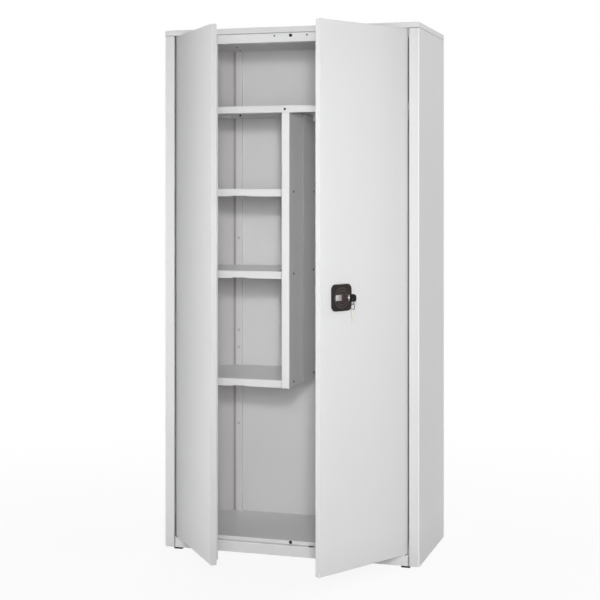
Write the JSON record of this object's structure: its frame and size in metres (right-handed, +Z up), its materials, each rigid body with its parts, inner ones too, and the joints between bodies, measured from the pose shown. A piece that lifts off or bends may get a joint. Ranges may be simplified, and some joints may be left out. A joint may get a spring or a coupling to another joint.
{
  "type": "utility cabinet",
  "caption": "Tall sheet-steel utility cabinet with hinged double doors, shelves beside a broom bay with hooks, and a rotary lock that drives top and bottom rods.",
  "frame": {"origin": "on the floor under the middle of the cabinet's body, without the open doors", "axes": "+X to the right of a person who faces the doors, +Y from the doors to the back, +Z up"},
  "size_m": [0.9, 0.7685, 1.8],
  "materials": {
    "powder_coat": "satin",
    "plain_steel": "satin",
    "bright_steel": "polished",
    "black_steel": "satin",
    "black_plastic": "matt",
    "lock_plastic": "semi-gloss",
    "label_metal": "brushed",
    "black_rubber": "matt"
  },
  "bodies": {
    "carcass": {"left_side_panel": "powder_coat", "right_side_panel": "powder_coat", "top_cap": "powder_coat", "front_lintel": "powder_coat", "ceiling_panel": "powder_coat", "cap_ribs": "plain_steel", "back_panel": "powder_coat", "left_upright": "powder_coat", "right_upright": "powder_coat", "floor_tray": "powder_coat", "floor_rib": "plain_steel", "plinth": "powder_coat", "foot_plates": "plain_steel", "foot_screws": "bright_steel", "front_left_foot": "black_plastic", "front_right_foot": "black_plastic", "rear_left_foot": "black_plastic", "rear_right_foot": "black_plastic", "top_shelf": "powder_coat", "upper_shelf": "powder_coat", "middle_shelf": "powder_coat", "lower_shelf": "powder_coat", "divider": "powder_coat", "shelf_angles": "powder_coat", "body_screws": "black_steel", "body_rivets": "powder_coat", "door_buffers": "black_rubber", "hook_rail": "powder_coat", "tool_hooks": "bright_steel", "hinge_bushes": "black_plastic", "rod_keepers": "black_plastic"},
    "left_door": {"left_door_skin": "powder_coat", "left_door_rib": "powder_coat", "left_hinge_blocks": "plain_steel", "left_hinge_pins": "bright_steel", "closing_strip": "powder_coat", "strip_rivets": "powder_coat"},
    "right_door": {"right_door_skin": "powder_coat", "right_door_rib": "powder_coat", "right_hinge_blocks": "plain_steel", "right_hinge_pins": "bright_steel", "lock_plate": "lock_plastic", "lock_case": "bright_steel", "lock_screws": "bright_steel", "rod_guides": "black_plastic"},
    "lock_knob": {"turn_knob": "lock_plastic", "blank_label": "label_metal", "lock_cylinder": "bright_steel", "lock_spindle": "bright_steel", "lock_pinion": "bright_steel"},
    "upper_lock_rod": {"upper_rod": "bright_steel"},
    "lower_lock_rod": {"lower_rod": "bright_steel"},
    "turning_key": {"cylinder_plug": "bright_steel", "key_blade": "bright_steel", "key_head": "black_plastic"},
    "hanging_keys": {"key_link": "bright_steel", "key_ring": "bright_steel", "spare_key": "bright_steel"}
  },
  "joints": [
    {"name": "left_door_swing", "type": "hinge", "parent": "carcass", "child": "left_door", "pos_m": [-0.4045, -0.205, 0.9], "axis": [0, 0, -1], "range_deg": [-52.25, 57.75]},
    {"name": "right_door_swing", "type": "hinge", "parent": "carcass", "child": "right_door", "pos_m": [0.4045, -0.205, 0.9], "axis": [0, 0, 1], "range_deg": [-60.8, 49.2]},
    {"name": "knob_turn", "type": "hinge", "parent": "right_door", "child": "lock_knob", "pos_m": [0.25665, -0.47979, 0.908], "axis": [0.8729, -0.4879, 0], "range_deg": [0, 90]},
    {"name": "upper_rod_slide", "type": "slide", "parent": "right_door", "child": "upper_lock_rod", "axis": [0, 0, 1], "range_m": [0, 0.01414]},
    {"name": "lower_rod_slide", "type": "slide", "parent": "right_door", "child": "lower_lock_rod", "axis": [0, 0, -1], "range_m": [0, 0.01414]},
    {"name": "key_turn", "type": "hinge", "parent": "lock_knob", "child": "turning_key", "pos_m": [0.2813, -0.46951, 0.908], "axis": [0.8729, -0.4879, 0], "range_deg": [0, 90]},
    {"name": "key_ring_swing", "type": "hinge", "parent": "turning_key", "child": "hanging_keys", "pos_m": [0.29483, -0.47707, 0.9018], "axis": [0.4879, 0.8729, 0], "range_deg": [-35, 20]}
  ],
  "couplings": [
    {"joint": "upper_rod_slide", "follows": "knob_turn", "m_per_rad": 0.009},
    {"joint": "lower_rod_slide", "follows": "knob_turn", "m_per_rad": 0.009}
  ]
}
